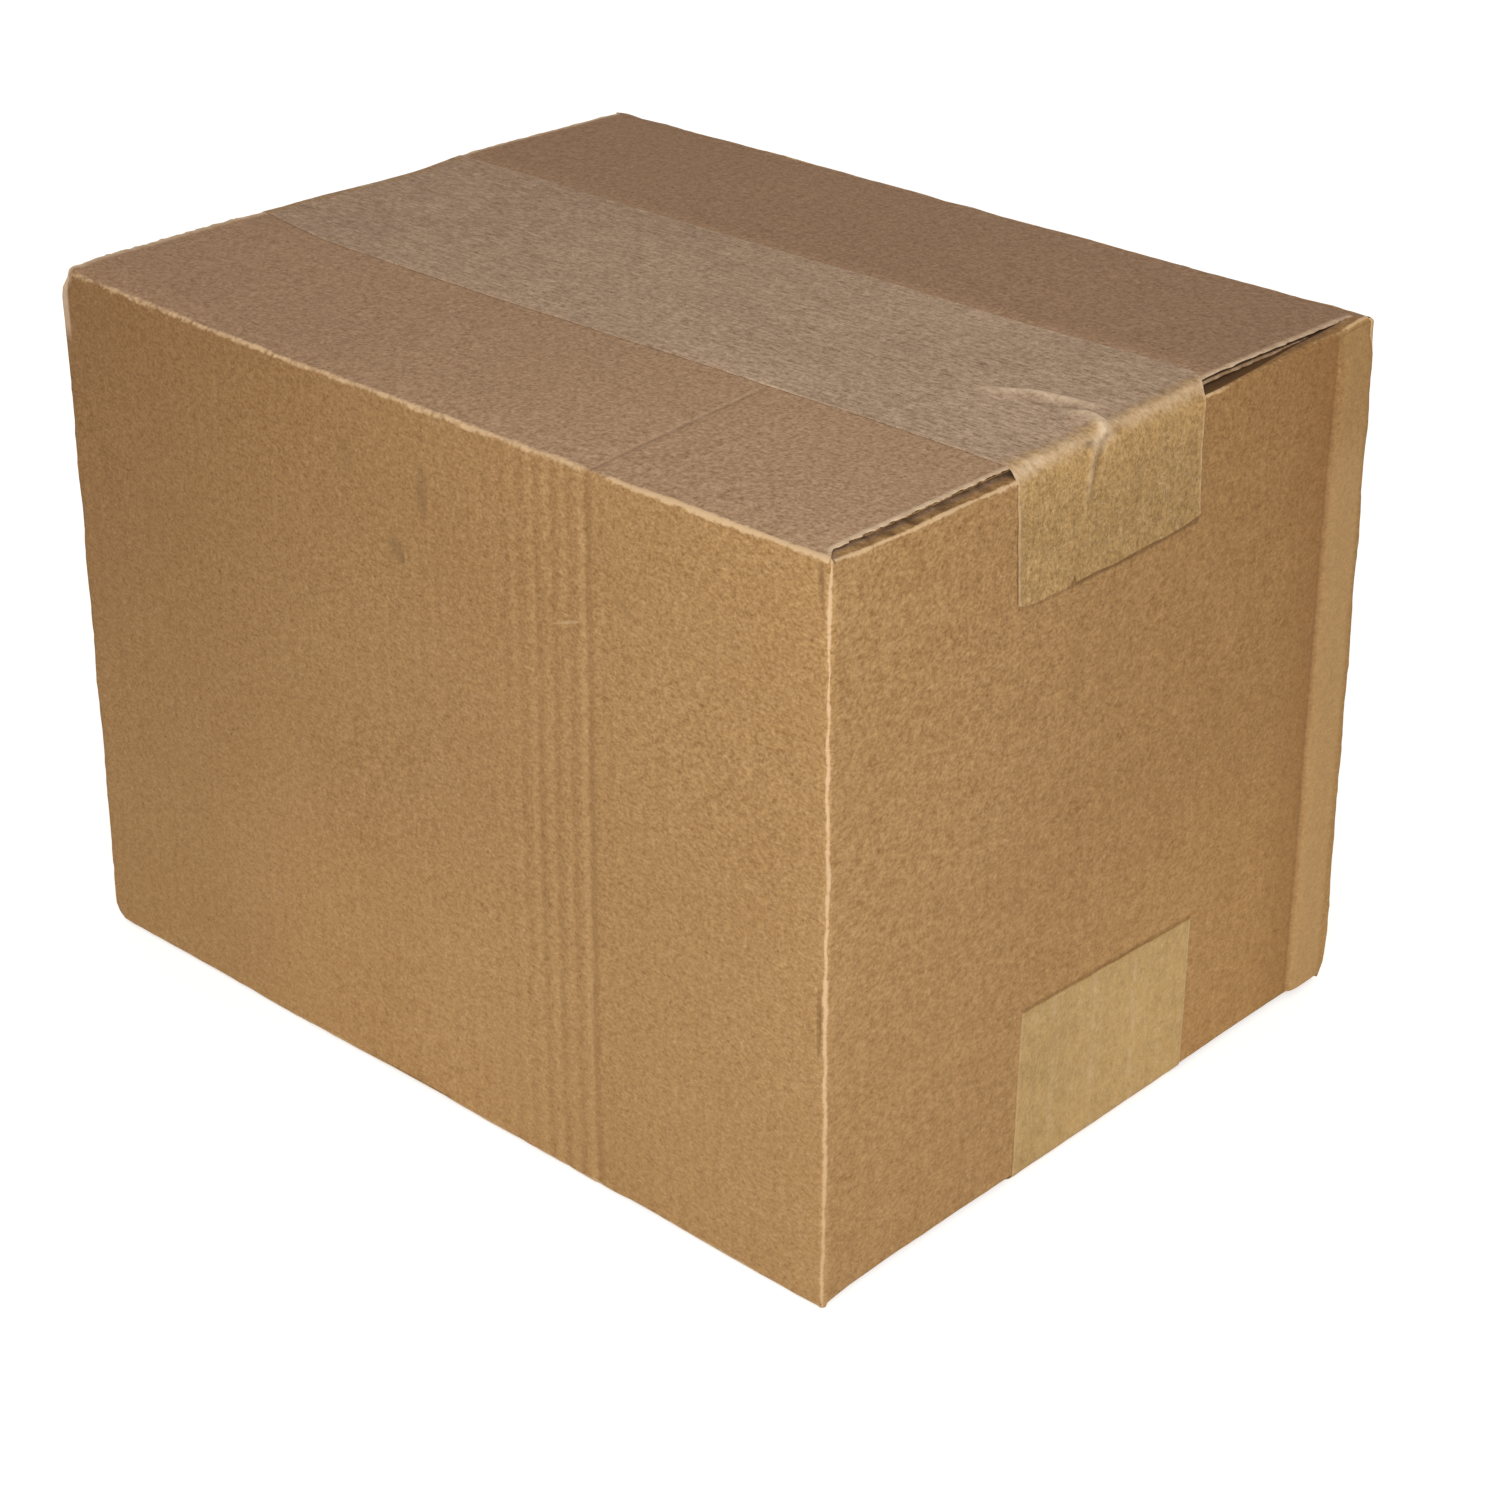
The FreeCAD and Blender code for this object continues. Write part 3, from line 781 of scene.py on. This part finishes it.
class Finish:
    """The nodes of a material or of the world."""

    def __init__(self, owner):
        self.owner = owner
        owner.use_nodes = True
        self.tree = owner.node_tree
        self.tree.nodes.clear()

    def node(self, kind, settings=None, inputs=None):
        """A node of the kind: its settings first, then its sockets' values or links."""
        node = self.tree.nodes.new(kind)
        for key, value in (settings or {}).items():
            setattr(node, key, value)
        for key, value in (inputs or {}).items():
            if isinstance(value, Value):
                self.tree.links.new(value.socket, node.inputs[key])
            else:
                node.inputs[key].default_value = value
        return node

    def value(self, kind, settings=None, inputs=None, output=0):
        """One output of a new node."""
        return Value(self, self.node(kind, settings, inputs).outputs[output])

    def values(self, kind, settings=None, inputs=None):
        """All outputs of a new node."""
        return [Value(self, socket) for socket in self.node(kind, settings, inputs).outputs]

    def math(self, operation, *values):
        return self.value("ShaderNodeMath", {"operation": operation}, dict(enumerate(values)))

    def vector(self, operation, *values, output=0):
        inputs = dict(enumerate(values))
        return self.value("ShaderNodeVectorMath", {"operation": operation}, inputs, output)

    def step(self, value, low, high):
        """0 at low and 1 at high, smooth between them; low may be the larger."""
        settings = {"interpolation_type": "SMOOTHSTEP", "clamp": True}
        inputs = {"Value": value, "From Min": low, "From Max": high}
        if low > high:
            inputs = {"Value": value, "From Min": high, "From Max": low, "To Min": 1, "To Max": 0}
        return self.value("ShaderNodeMapRange", settings, inputs)

    def span(self, value, start, full, fade, end):
        """1 from full to fade, and 0 before the start and after the end."""
        return self.step(value, start, full) * self.step(value, end, fade)

    def line(self, value, centre, half_width):
        """A narrow mark about a place, fading to both sides."""
        return self.step(abs(value - centre), half_width, half_width * 0.25)

    def mix(self, factor, *colours):
        """Two colours mixed: values, or three numbers each."""
        first, second = (part if isinstance(part, Value) else (*part, 1) for part in colours)
        settings = {"data_type": "RGBA", "clamp_factor": True}
        return self.value("ShaderNodeMix", settings, {0: factor, 6: first, 7: second}, 2)


class Paper(Finish):
    """A material for paper or board: its nodes, its places in millimetres in Object
    coordinates, and its colour, which is painted over step by step."""

    def __init__(self, name):
        super().__init__(bpy.data.materials.new(name))
        in_metres = self.value("ShaderNodeTexCoord", output="Object")
        self.place = self.vector("MULTIPLY", in_metres, (1 / MM,) * 3)
        self.x, self.y, self.z = self.values("ShaderNodeSeparateXYZ", None, {0: self.place})
        normal = self.value("ShaderNodeNewGeometry", output="Normal")
        self.facing = self.values("ShaderNodeSeparateXYZ", None, {0: normal})
        self.colour = None

    def mark(self, name):
        """The value that a piece keeps on its points under the name."""
        return self.value("ShaderNodeAttribute", {"attribute_name": name}, output="Fac")

    def paint(self, amount, *rgb):
        """Lays a colour over what is painted so far."""
        self.colour = self.mix(amount, self.colour, rgb)

    def shade(self, amount, *share):
        """Makes the colour lighter or darker: each of its parts times 1 + amount * share,
        with a share of 1 where none is given."""
        parts = {i: amount * part + 1 for i, part in enumerate(share or (1, 1, 1))}
        bright = self.value("ShaderNodeCombineColor", None, parts)
        self.colour = self.vector("MULTIPLY", self.colour, bright)

    def cells(self, sizes, shift=(0, 0, 0)):
        """The place counted in cells of the sizes: one length, or one along each axis."""
        return self.vector("MULTIPLY_ADD", self.place, tuple(1 / np.broadcast_to(sizes, 3)), shift)

    def noise(self, vector, detail=2, roughness=0.5):
        """Noise about 0, from about -0.5 to 0.5, one lump to each unit of the vector."""
        inputs = {"Vector": vector, "Scale": 1, "Detail": detail, "Roughness": roughness}
        return self.value("ShaderNodeTexNoise", None, inputs) - 0.5

    def lumps(self, sizes, detail=2, roughness=0.5, shift=(0, 0, 0)):
        """Noise about 0 in lumps of the sizes."""
        return self.noise(self.cells(sizes, shift), detail, roughness)

    def specks(self, size, share, sizes, shift=(0, 0, 0)):
        """Round specks in a share of the cells of the sizes. size is their radius in
        cells, and each speck has its own size and strength."""
        inputs = {"Vector": self.cells(sizes, shift), "Scale": 1, "Randomness": 1}
        distance, chances = self.values("ShaderNodeTexVoronoi", None, inputs)[:2]
        pick, big, strong = self.values("ShaderNodeSeparateColor", None, {0: chances})
        near = self.math("LESS_THAN", distance, big * size * 0.7 + size * 0.5)
        return near * self.step(pick, share, share - 0.02) * (strong * 0.6 + 0.4)

    def hairs(self, thin, share, sizes, shift=(0, 0, 0)):
        """Short bent fibres: where noise crosses zero, kept in a share of the area."""
        vector = self.cells(sizes, shift)
        line = self.step(abs(self.noise(vector, 1)), thin, thin * 0.2)
        elsewhere = self.vector("MULTIPLY_ADD", vector, (0.8, 0.8, 0.8), (13.7, 4.1, 9.3))
        return line * self.step(self.noise(elsewhere, 0), 0.5 - share, 0.56 - share)

    def crisp(self):
        """How strongly the paper's grain shows: 1.4 at the near top corner, where it is
        rubbed most, and less by 0.45 for each 300 mm away from it, counting the width
        1.1 times, the height 1.6 times and the length 0.9 times."""
        weights = (0.9, 1.1, 1.6)
        corner = tuple(at * weight for at, weight in zip((RIGHT, FRONT, TOP), weights))
        away = self.vector("DISTANCE", self.vector("MULTIPLY", self.place, weights), corner, output=1)
        return 1.4 - away * (0.45 / 300)

    def paint_falloff_shade(self, upward):
        """Painted shade of the light falling off: the colour a little darker and redder away
        from the near fold, times (0.64, 0.58, 0.56) by a factor that grows with the distance,
        and with the height on a wall. The back and left walls get less of this painted shade.
        Low on the walls, in the middle of that distance, painted light makes it up to a tenth lighter."""
        dx = self.x - RIGHT
        dy = self.y - FRONT
        away = (dx * dx + dy * dy) ** 0.5 / 300
        turned = self.step(self.facing[1], 0.3, 0.7) + self.step(self.facing[0], -0.3, -0.7)
        back = self.step(self.y, 40, 50)
        on_lid = away * (0.62 - back * 0.52) + back * 0.70
        on_wall = (away * self.z / 215 + away ** 4 * 0.14) * (1 - turned * 0.6)
        amount = self.math("MINIMUM", on_wall * (1 - upward) + on_lid * upward, 1.1)
        dark = self.vector("MULTIPLY", self.colour, (0.64, 0.58, 0.56))
        self.colour = self.mix(amount, self.colour, dark)
        self.shade(self.step(self.z, 110, 40) * self.span(away, 0.22, 0.50, 0.65, 0.85) * 0.09)

    def flutes(self, across_y):
        """The washboard of the flutes, a sine across X, or across Y by the amount."""
        along_x, along_y = (self.math("SINE", at * (2 * math.pi / FLUTE)) for at in (self.x, self.y))
        return along_x * (1 - across_y) + along_y * across_y

    def stain(self, centre, half_sizes, lean, wobble):
        """A soft-edged mark on the front wall: an ellipse that leans by degrees, with a
        wavering edge."""
        cos, sin = math.cos(math.radians(lean)), math.sin(math.radians(lean))
        dx = self.x - centre[0]
        dz = self.z - centre[1]
        u = (dx * cos + dz * sin) / half_sizes[0]
        v = (dz * cos - dx * sin) / half_sizes[1]
        return self.step((u * u + v * v) ** 0.5 + wobble, 1.15, 0.70)

    def finished(self, roughness, height):
        """Ends the material: a Principled surface, with its height in millimetres as bump."""
        normal = self.value("ShaderNodeBump", None, {"Strength": 1, "Distance": MM, "Height": height})
        inputs = {"Base Color": self.colour, "Roughness": roughness, "Normal": normal}
        inputs["Specular IOR Level"] = 0.28
        surface = self.value("ShaderNodeBsdfPrincipled", None, inputs)
        self.node("ShaderNodeOutputMaterial", None, {0: surface})
        return self.owner


def kraft_colour(board, low, high, fibre_sizes):
    """Kraft liner: the colour between low and high, mottled at four sizes, with fibres
    along the grain, specks and hairs. Returns the colour and the paper's fine height."""
    broad = board.lumps((90, 90, 70))
    patch = board.lumps((12, 12, 9), 3, 0.55)
    mottle = board.lumps((2.4, 2.4, 2), 3, 0.65)
    grit = board.lumps((1.15, 1.15, 0.85), 2, 0.7)
    fibre = board.lumps(fibre_sizes, 2, 0.6)
    board.colour = board.mix(broad * 0.50 + patch * 0.40 + mottle * 0.40 + 0.5, low, high)
    board.shade((mottle * 0.66 + grit * 1.20 + fibre * 0.16) * board.crisp(), 0.84, 1.02, 1.28)
    board.paint(board.specks(0.135, 0.46, 2.9, (3.1, 7.7, 1.3)) * 0.52, 0.13, 0.070, 0.028)
    hair_sizes = (2.6, 2.6, 2)
    board.paint(board.hairs(0.020, 0.42, hair_sizes) * 0.22, 0.68, 0.48, 0.32)
    board.paint(board.hairs(0.024, 0.46, hair_sizes, (5, 2, 8)) * 0.26, 0.15, 0.08, 0.03)
    return board.colour, (mottle + grit) * 0.032


def kraft_board():
    """The carton's board, outside: warmer walls, and flaps on top painted greyer and cooler as
    painted light from above, with the washboard of the flutes in painted shade, crushed flutes
    with painted shade and highlight, stains, worn folds with a painted highlight, cut ends with
    painted shade in the flute, and the tab's edge with its painted shadow."""
    board = Paper("kraft_board_finish")
    x, y, z = board.x, board.y, board.z
    step, span, line, paint = board.step, board.span, board.line, board.paint

    # The strip of the inner flaps that shows past the flaps' ends is as warm as a wall
    upward = step(board.facing[2], 0.55, 0.97)
    upward *= 1 - step(abs(x), 146.2, 146.9) * step(abs(y), 112, 109)
    # The flaps on top get their own grain and a greyer, cooler colour, which is painted light standing in
    # for cool light from above
    wall, height = kraft_colour(board, (0.350, 0.187, 0.066), (0.447, 0.270, 0.115), (5, 5, 0.6))
    lid_in_cool_light, _ = kraft_colour(board, (0.361, 0.225, 0.130), (0.477, 0.303, 0.181), (3, 0.9, 5))
    board.colour = board.mix(upward, wall, lid_in_cool_light)
    # Painted shade: the board darker and redder away from the near fold, where the light falls off
    board.paint_falloff_shade(upward)

    # Washboard of the flutes, across X on long walls and flaps, across Y on end walls: a small bump, and
    # stripes of painted shade in the colour
    flutes = board.flutes(abs(board.facing[0]))
    uneven = board.lumps(60, 1, shift=(2, 5, 1)) + 0.5
    board.shade(flutes * 0.030 * uneven)
    height += flutes * 0.009

    # Marks on the front wall: drops, a faint smudge and a short scratch
    on_front = step(y, -112.5, -113.8)
    wobble = board.lumps(6) * 0.5
    marks = sum(board.stain(*shape, wobble) * strength for *shape, strength in STAINS)
    paint(marks * on_front, 0.17, 0.10, 0.045)
    scratch = board.stain((59.5, 170.2), (5.8, 0.45), 20, wobble * 0.3)
    paint(scratch * on_front * 0.40, 0.62, 0.42, 0.23)

    # Crushed flutes: painted shade on each valley's right flank and a painted highlight on its left, where
    # the light falls on the valleys
    breaks = board.lumps((400, 400, 26)) + 0.62
    swayed = x + board.lumps((400, 400, 60), 1, shift=(0, 0, 4)) * 1.6
    painted_shade_flank = 0
    painted_highlight_flank = 0
    for valley, deep in zip(CRUSH_LINES, CRUSH_DEPTHS):
        painted_shade_flank = line(swayed, valley + 1.2, 1.9) * deep + painted_shade_flank
        painted_highlight_flank = line(swayed, valley - 1.4, 1.7) * deep + painted_highlight_flank
    paint(painted_shade_flank * breaks * on_front * 1.5, 0.22, 0.105, 0.036)
    paint(painted_highlight_flank * breaks * on_front * 0.75, 0.62, 0.41, 0.21)

    # Worn folds: the liner is stretched and rubbed light in ragged patches, and a painted highlight lies
    # along the crests
    rub_and_highlight = board.lumps(4, 4, 0.7, (1, 1, 6))
    torn = board.lumps(1.3, 2, 0.6, (3, 1, 2))
    wear_and_highlight = step(board.mark("wear_and_highlight") + rub_and_highlight * 0.9 + torn * 0.9, 0.38, 0.98)
    paint(wear_and_highlight * (step(z, 20, 100) * 0.22 + 0.58), 0.69, 0.475, 0.275)

    # The left front top corner: worn light, partly a painted highlight, round its fold and point, and a
    # line of painted shade beside it
    left_corner_wear_and_highlight = step(x, -145.6, -146.8) * step(z, 193, 202) * step(y, -109, -110.8)
    paint(left_corner_wear_and_highlight * (rub_and_highlight * 0.6 + 0.75), 0.58, 0.41, 0.28)
    from_corner = board.vector("DISTANCE", board.place, (LEFT, FRONT, TOP), output=1)
    paint(step(from_corner, 6, 3.5) * 0.70, 0.58, 0.41, 0.28)
    paint(line(x, -145.9, 0.9) * step(z, 200, 207) * on_front * 0.35, 0.16, 0.09, 0.04)

    # Painted shade in the groove and the dent beside the near fold
    painted_groove_shade = line(x, 147, 1.4) * on_front * span(z, 201.5, 206, 211.5, 214.5)
    painted_dent_shade = board.stain((147.4, 87), (0.9, 11), 0, wobble * 0.4) * on_front
    paint(painted_groove_shade * 0.50 + painted_dent_shade * 0.45, 0.18, 0.092, 0.034)

    # Cut ends: pale liner edges, and painted shade in the open flute and in the gap over the inner flaps
    paint(board.mark("pale") * (torn * 0.9 + 0.80), 0.72, 0.54, 0.37)
    paint(step(board.mark("deep"), 0.3, 0.7) * 0.90, 0.095, 0.043, 0.013)

    # The crease across the front flap and a fainter one beside it: painted shade to the right, and a
    # painted highlight left of the first
    at_lid = upward * step(y, -40, -46)
    crease = x + y * 0.083 - 59.65
    second = x - y * 0.20 - 97.9
    paint(step(abs(crease - 0.5), 1, 0.2) * at_lid * 0.34, 0.16, 0.09, 0.045)
    paint(step(abs(crease + 1), 1, 0.2) * at_lid * 0.22, 0.62, 0.44, 0.28)
    faint_crease_shade = step(abs(second), 0.9, 0.2) * at_lid * span(y, -98, -92, -74, -66)
    paint(faint_crease_shade * 0.20, 0.16, 0.09, 0.045)

    # The glue tab: a soft painted shadow where its edge steps onto the wall, and a painted highlight along
    # the edge and across the tab
    on_right = step(x, 149, 149.7)
    tab_y = y - tab_lean(z)
    tab_face = step(tab_y, 98.5, 100) * on_right
    tab_highlight = step(abs(tab_y - (TAB_EDGE + 7.6)), 9, 6) * on_right
    # Painted shade tint: the end wall redder towards the back, with the falloff of the light
    board.shade(step(y, -60, 90) * on_right, 0, -0.03, -0.12)
    paint(span(tab_y, 72, 96.5, 96.8, 97.2) * on_right * 0.32, 0.26, 0.115, 0.032)
    paint(tab_face * 0.20, 0.50, 0.310, 0.120)
    paint(tab_highlight * (step(z, 188, 170) * 0.6 + 0.4) * 0.27, 0.61, 0.40, 0.190)
    board.shade(torn * tab_face * 0.24)
    tab_edge_shadow = line(tab_y, TAB_EDGE - 0.3, 1.6) * on_right * step(z, 206, 192)
    paint(tab_edge_shadow * 0.20, 0.15, 0.085, 0.04)

    # Faint bands below the top tape, where the board was damp
    bands = line(y, -17.5, 2.6) + line(y, -4, 3) * 0.7 + line(y, 5.5, 2.2) * 0.6
    bands *= span(z, 126, 150, 172, 178) * step(x, 148, 149.5)
    paint(bands * (rub_and_highlight + 0.6) * 0.24, 0.20, 0.11, 0.045)

    # Thin shadows in the gap under the tapes' edges
    under_top = step(abs(z - y * 0.02 - y * y * 0.0004 - 177.4), 1.4, 0.4)
    under_top *= span(y, -40, -36, 34, 36) * (step(y, -24, -16) * 0.5 + 0.5)
    over_low = step(abs(z + y * 0.0427 - 53.8), 0.9, 0.3) * span(y, -36, -34, 42, 43)
    shadow = (under_top * 0.62 + over_low * 0.30) * step(x, 148, 149.2)
    paint(shadow, 0.13, 0.062, 0.021)
    return board.finished(0.86, height)


def paper_tape():
    """Gummed paper tape: greyer and cooler on top, partly as painted light from above like the
    carton's flaps, with long fibres, yellower where it hangs, with rubbed creases partly
    painted as highlight and painted shade in its folds, from the marks on its points."""
    tape = Paper("paper_tape_finish")
    x, z = tape.x, tape.z
    ragged = tape.lumps((9, 7, 9), 3, 0.6, (2, 1, 3)) * 9
    on_top = tape.step(abs(x) + ragged, 148.2, 141) * tape.step(z, 150, 160)
    hanging = 1 - on_top
    is_low = tape.step(z, 120, 80)

    broad = tape.lumps((45, 30, 30))
    patch = tape.lumps((7, 5, 5), 3, 0.6)
    mottle = tape.lumps((2, 1.6, 1.6), 3, 0.65)
    grit = tape.lumps((0.8, 0.7, 0.7), 2, 0.6)
    streak = tape.lumps((5.5, 0.80, 0.9), 3, 0.65)
    upright = tape.lumps((1, 0.8, 9), 3, 0.65)
    fibres = streak * on_top + upright * hanging * 0.30
    # Greyer and cooler on top: partly painted light, standing in for cool light from above as on the
    # carton's flaps
    top = tape.mix(broad * 0.8 + patch * 1.2 + 0.5, (0.362, 0.250, 0.168), (0.522, 0.364, 0.245))
    hang = tape.mix(broad * 0.6 + patch * 1.5 + 0.5, (0.343, 0.208, 0.075), (0.496, 0.312, 0.126))
    foot = tape.mix(broad * 0.6 + patch * 1.2 + 0.5, (0.392, 0.251, 0.096), (0.562, 0.372, 0.160))
    tape.colour = tape.mix(on_top, tape.mix(is_low, hang, foot), top)
    # Painted shade: the tape darker and redder away from the near fold, where the light falls off
    tape.paint_falloff_shade(on_top)
    tape.shade(tape.step(z, 198, 212) * hanging * 0.16)
    grain = (mottle * 1.25 + grit * 0.85 + fibres * 1.1) * (1 - is_low * 0.45)
    tape.shade(grain * tape.crisp(), 0.88, 1.02, 1.22)
    tape.paint(tape.hairs(0.030, 0.50, (5, 1.8, 2.4)) * 0.26, 0.66, 0.53, 0.36)
    tape.paint(tape.hairs(0.026, 0.45, (4, 2, 2.6), (5, 2, 8)) * 0.24, 0.13, 0.08, 0.035)
    tape.paint(tape.specks(0.09, 0.30, 4) * 0.45, 0.11, 0.065, 0.03)
    # Rubbed light, partly a painted highlight, along the ridges, over the bends and at the edges
    tape.paint(tape.mark("rub_and_highlight") * (mottle * 1.4 + 0.80), 0.76, 0.575, 0.395)
    # Painted shade in the pleat, the line between and the small holes
    tape.paint(tape.mark("painted_fold_shade") * 0.75, 0.10, 0.06, 0.03)

    height = mottle * 0.035 + grit * 0.020 + fibres * 0.030 + tape.flutes(hanging) * 0.012
    return tape.finished(0.80 + mottle * 0.12, height)


BOARD_FINISH = kraft_board()
TAPE_FINISH = paper_tape()


def put_on(piece, finish, slot, *nodes):
    """Gives a piece its finish, its place on the carton and the solids it stands for."""
    piece.data.materials.append(finish)
    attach(piece, "root")
    if nodes:
        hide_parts(*nodes)


put_on(carton_walls(), BOARD_FINISH, "kraft_board", "carton")

FLAP_WALLS = (("front", True, -1), ("back", True, 1), ("left", False, -1), ("right", False, 1))
for wall, long_wall, side in FLAP_WALLS:
    for is_top, level in ((True, "top"), (False, "bottom")):
        kind = "flap" if long_wall else "inner_flap"
        put_on(folded_flap(f"{wall}_{level}_{kind}", long_wall, side, is_top), BOARD_FINISH, "kraft_board")

top_strip = tape_piece("top_tape_strip", True, TOP_NEAR, TOP_FAR, 39.2, top_foot, top_lift)
put_on(top_strip, TAPE_FINISH, "paper_tape", "top_tape")
bottom_strip = tape_piece("bottom_tape_strip", False, BOTTOM_NEAR, BOTTOM_FAR, 56, bottom_foot, bottom_lift)
put_on(bottom_strip, TAPE_FINISH, "paper_tape", "bottom_tape")


def plain_floor():
    """A pale floor that looks white to the camera and keeps the carton's shadow."""
    finish = Finish(bpy.data.materials.new("floor_finish"))
    seen = finish.value("ShaderNodeLightPath", output="Is Camera Ray")
    matt = finish.value("ShaderNodeBsdfDiffuse", None, {"Color": (0.80, 0.80, 0.80, 1)})
    glow = finish.value("ShaderNodeEmission", None, {"Color": (1, 1, 1, 1), "Strength": seen * 0.55})
    both = finish.value("ShaderNodeAddShader", None, {0: matt, 1: glow})
    finish.node("ShaderNodeOutputMaterial", None, {0: both})
    mesh = bpy.data.meshes.new("floor")
    half = 6
    corners = [(-half, -half, 0), (half, -half, 0), (half, half, 0), (-half, half, 0)]
    mesh.from_pydata(corners, [], [(0, 1, 2, 3)])
    mesh.materials.append(finish.owner)
    floor = bpy.data.objects.new("floor", mesh)
    bpy.context.scene.collection.objects.link(floor)


def key_lamp():
    """A soft square lamp beyond the near end, facing the middle of the carton."""
    light = bpy.data.lights.new("key_lamp", "AREA")
    light.shape = "SQUARE"
    light.size = 0.8
    light.energy = 11.5
    light.color = (0.95, 0.98, 1)
    lamp = bpy.data.objects.new("key_lamp", light)
    lamp.location = (0.90, -1.00, 0.66)
    towards_middle = Vector((0, 0, 0.11)) - lamp.location
    lamp.rotation_euler = towards_middle.to_track_quat("-Z", "Y").to_euler()
    bpy.context.scene.collection.objects.link(lamp)


def room_light():
    """Even warm light from all round; the camera sees it white."""
    world = bpy.data.worlds.new("room")
    bpy.context.scene.world = world
    room = Finish(world)
    seen = room.value("ShaderNodeLightPath", output="Is Camera Ray")
    light = room.value("ShaderNodeBackground", None, {0: (1, 0.95, 0.88, 1), 1: 0.64})
    white = room.value("ShaderNodeBackground", None, {0: (1, 1, 1, 1), 1: 1})
    chosen = room.value("ShaderNodeMixShader", None, {0: seen, 1: light, 2: white})
    room.node("ShaderNodeOutputWorld", None, {0: chosen})


def photo_camera():
    """The camera where the photograph was taken from: its place, its turn about Z and
    its tilt, with the focal length given in the photograph's pixels."""
    azimuth = math.radians(42.830)
    elevation = math.radians(24.108)
    focal_pixels = 3328.5
    photo_pixels = 1500
    data = bpy.data.cameras.new("photo_camera")
    data.sensor_width = 36
    data.lens = focal_pixels * data.sensor_width / photo_pixels
    data.shift_y = -0.125
    data.clip_start = 0.01
    data.clip_end = 50
    camera = bpy.data.objects.new("photo_camera", data)
    camera.location = (621.1 * MM, -651.1 * MM, 534 * MM)
    camera.rotation_euler = (math.pi / 2 - elevation, 0, azimuth)
    bpy.context.scene.collection.objects.link(camera)
    bpy.context.scene.camera = camera


plain_floor()
room_light()
key_lamp()
photo_camera()
bpy.context.scene.view_settings.view_transform = "Standard"
